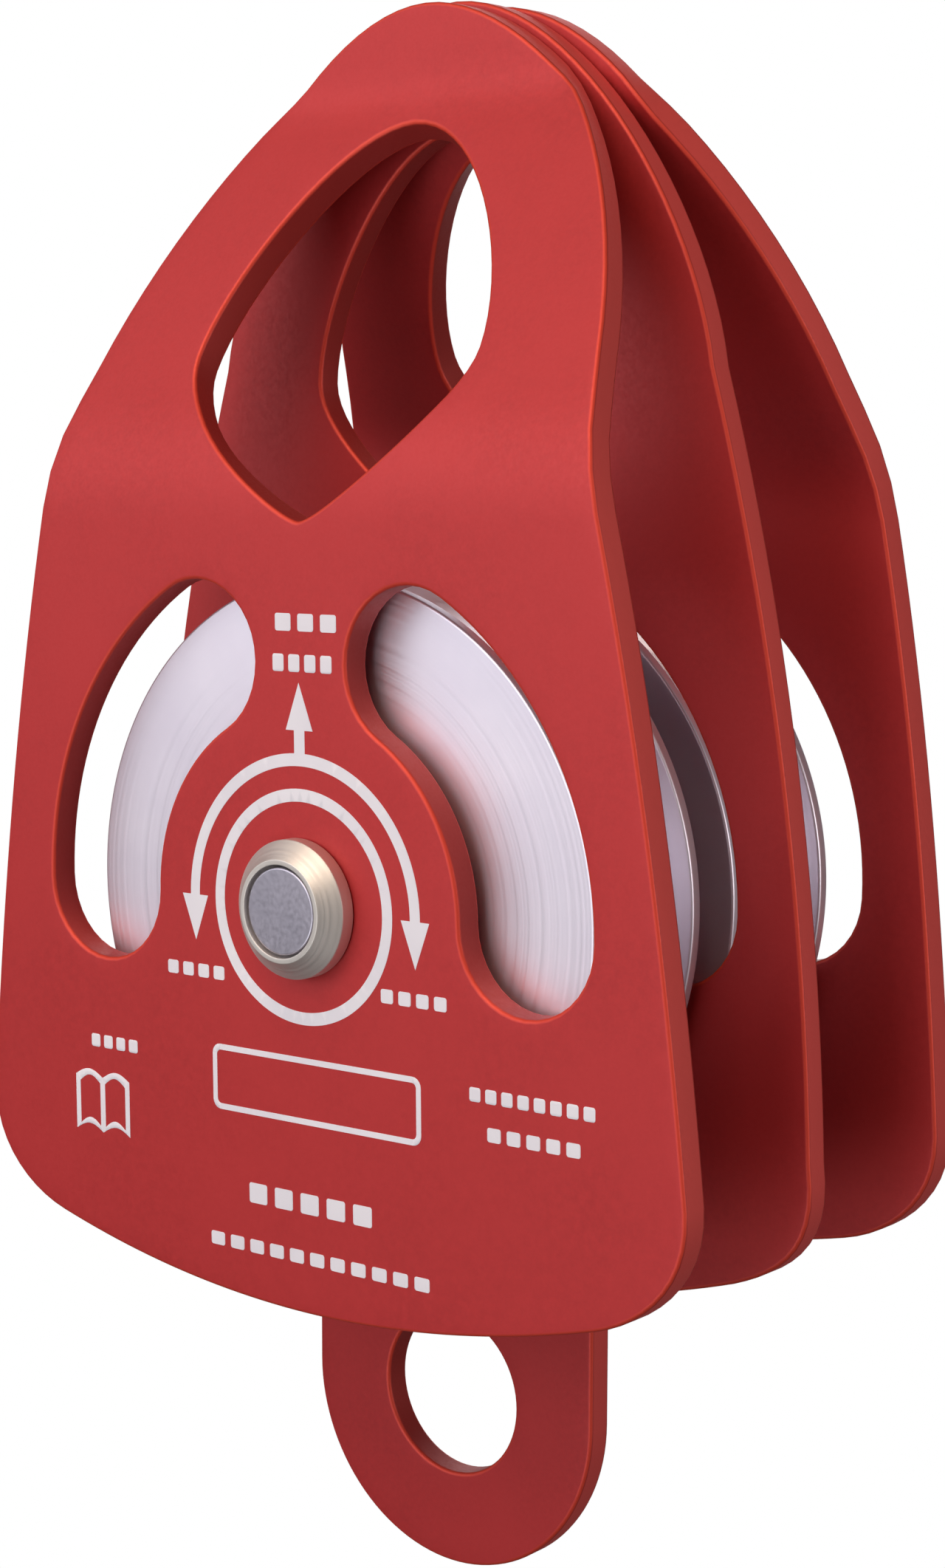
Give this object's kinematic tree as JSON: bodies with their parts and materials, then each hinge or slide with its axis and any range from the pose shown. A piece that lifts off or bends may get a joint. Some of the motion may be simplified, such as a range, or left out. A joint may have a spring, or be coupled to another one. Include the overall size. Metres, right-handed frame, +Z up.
{
  "type": "rope pulley",
  "caption": "Double swing-sided rope pulley: grooved ball-bearing sheaves between joggled red plates, a carabiner eye above and a becket eye below.",
  "frame": {"origin": "top of the carabiner eye, on the middle plate's centre plane, where the pulley hangs", "axes": "+Z up, from the becket towards the eye; Y along the axle, the front side plate on the -Y side; X across the plates"},
  "size_m": [0.1074, 0.065, 0.1893],
  "materials": {
    "anodised_red": "satin red anodised aluminium",
    "sheave_aluminium": "fine turned aluminium",
    "stainless": "turned stainless steel",
    "pin_steel": "satin ground steel",
    "bearing_steel": "polished bearing steel",
    "bronze": "plain bronze",
    "seal_rubber": "matt black rubber",
    "spring_steel": "black phosphated spring steel"
  },
  "bodies": {
    "frame": {"middle_plate": "anodised_red", "axle_pin": "pin_steel", "front_axle_collar": "stainless", "front_plate_bush": "bronze", "front_inner_spacer": "stainless", "front_outer_spacer": "stainless", "front_bearing_inner_race": "bearing_steel", "rear_axle_collar": "stainless", "rear_plate_bush": "bronze", "rear_inner_spacer": "stainless", "rear_outer_spacer": "stainless", "rear_bearing_inner_race": "bearing_steel"},
    "front_side_plate": {"front_side_plate": "anodised_red"},
    "rear_side_plate": {"rear_side_plate": "anodised_red"},
    "front_sheave": {"front_sheave": "sheave_aluminium", "front_bearing_outer_race": "bearing_steel", "front_bearing_inner_seal": "seal_rubber", "front_bearing_outer_seal": "seal_rubber", "front_circlip": "spring_steel"},
    "front_ball_set": {"front_bearing_cage": "bronze", "front_bearing_ball_1": "bearing_steel", "front_bearing_ball_2": "bearing_steel", "front_bearing_ball_3": "bearing_steel", "front_bearing_ball_4": "bearing_steel", "front_bearing_ball_5": "bearing_steel", "front_bearing_ball_6": "bearing_steel", "front_bearing_ball_7": "bearing_steel", "front_bearing_ball_8": "bearing_steel"},
    "rear_sheave": {"rear_sheave": "sheave_aluminium", "rear_bearing_outer_race": "bearing_steel", "rear_bearing_inner_seal": "seal_rubber", "rear_bearing_outer_seal": "seal_rubber", "rear_circlip": "spring_steel"},
    "rear_ball_set": {"rear_bearing_cage": "bronze", "rear_bearing_ball_1": "bearing_steel", "rear_bearing_ball_2": "bearing_steel", "rear_bearing_ball_3": "bearing_steel", "rear_bearing_ball_4": "bearing_steel", "rear_bearing_ball_5": "bearing_steel", "rear_bearing_ball_6": "bearing_steel", "rear_bearing_ball_7": "bearing_steel", "rear_bearing_ball_8": "bearing_steel"}
  },
  "joints": [
    {"name": "front_plate_swing", "type": "hinge", "parent": "frame", "child": "front_side_plate", "pos_m": [0, 0, -0.0882], "axis": [0, 1, 0], "continuous": true},
    {"name": "rear_plate_swing", "type": "hinge", "parent": "frame", "child": "rear_side_plate", "pos_m": [0, 0, -0.0882], "axis": [0, 1, 0], "continuous": true},
    {"name": "front_sheave_spin", "type": "hinge", "parent": "frame", "child": "front_sheave", "pos_m": [0, 0, -0.0882], "axis": [0, 1, 0], "continuous": true},
    {"name": "rear_sheave_spin", "type": "hinge", "parent": "frame", "child": "rear_sheave", "pos_m": [0, 0, -0.0882], "axis": [0, 1, 0], "continuous": true},
    {"name": "front_balls_roll", "type": "hinge", "parent": "frame", "child": "front_ball_set", "pos_m": [0, 0, -0.0882], "axis": [0, 1, 0], "continuous": true},
    {"name": "rear_balls_roll", "type": "hinge", "parent": "frame", "child": "rear_ball_set", "pos_m": [0, 0, -0.0882], "axis": [0, 1, 0], "continuous": true}
  ],
  "couplings": [
    {"joint": "front_balls_roll", "follows": "front_sheave_spin", "ratio": 0.619},
    {"joint": "rear_balls_roll", "follows": "rear_sheave_spin", "ratio": 0.619}
  ]
}
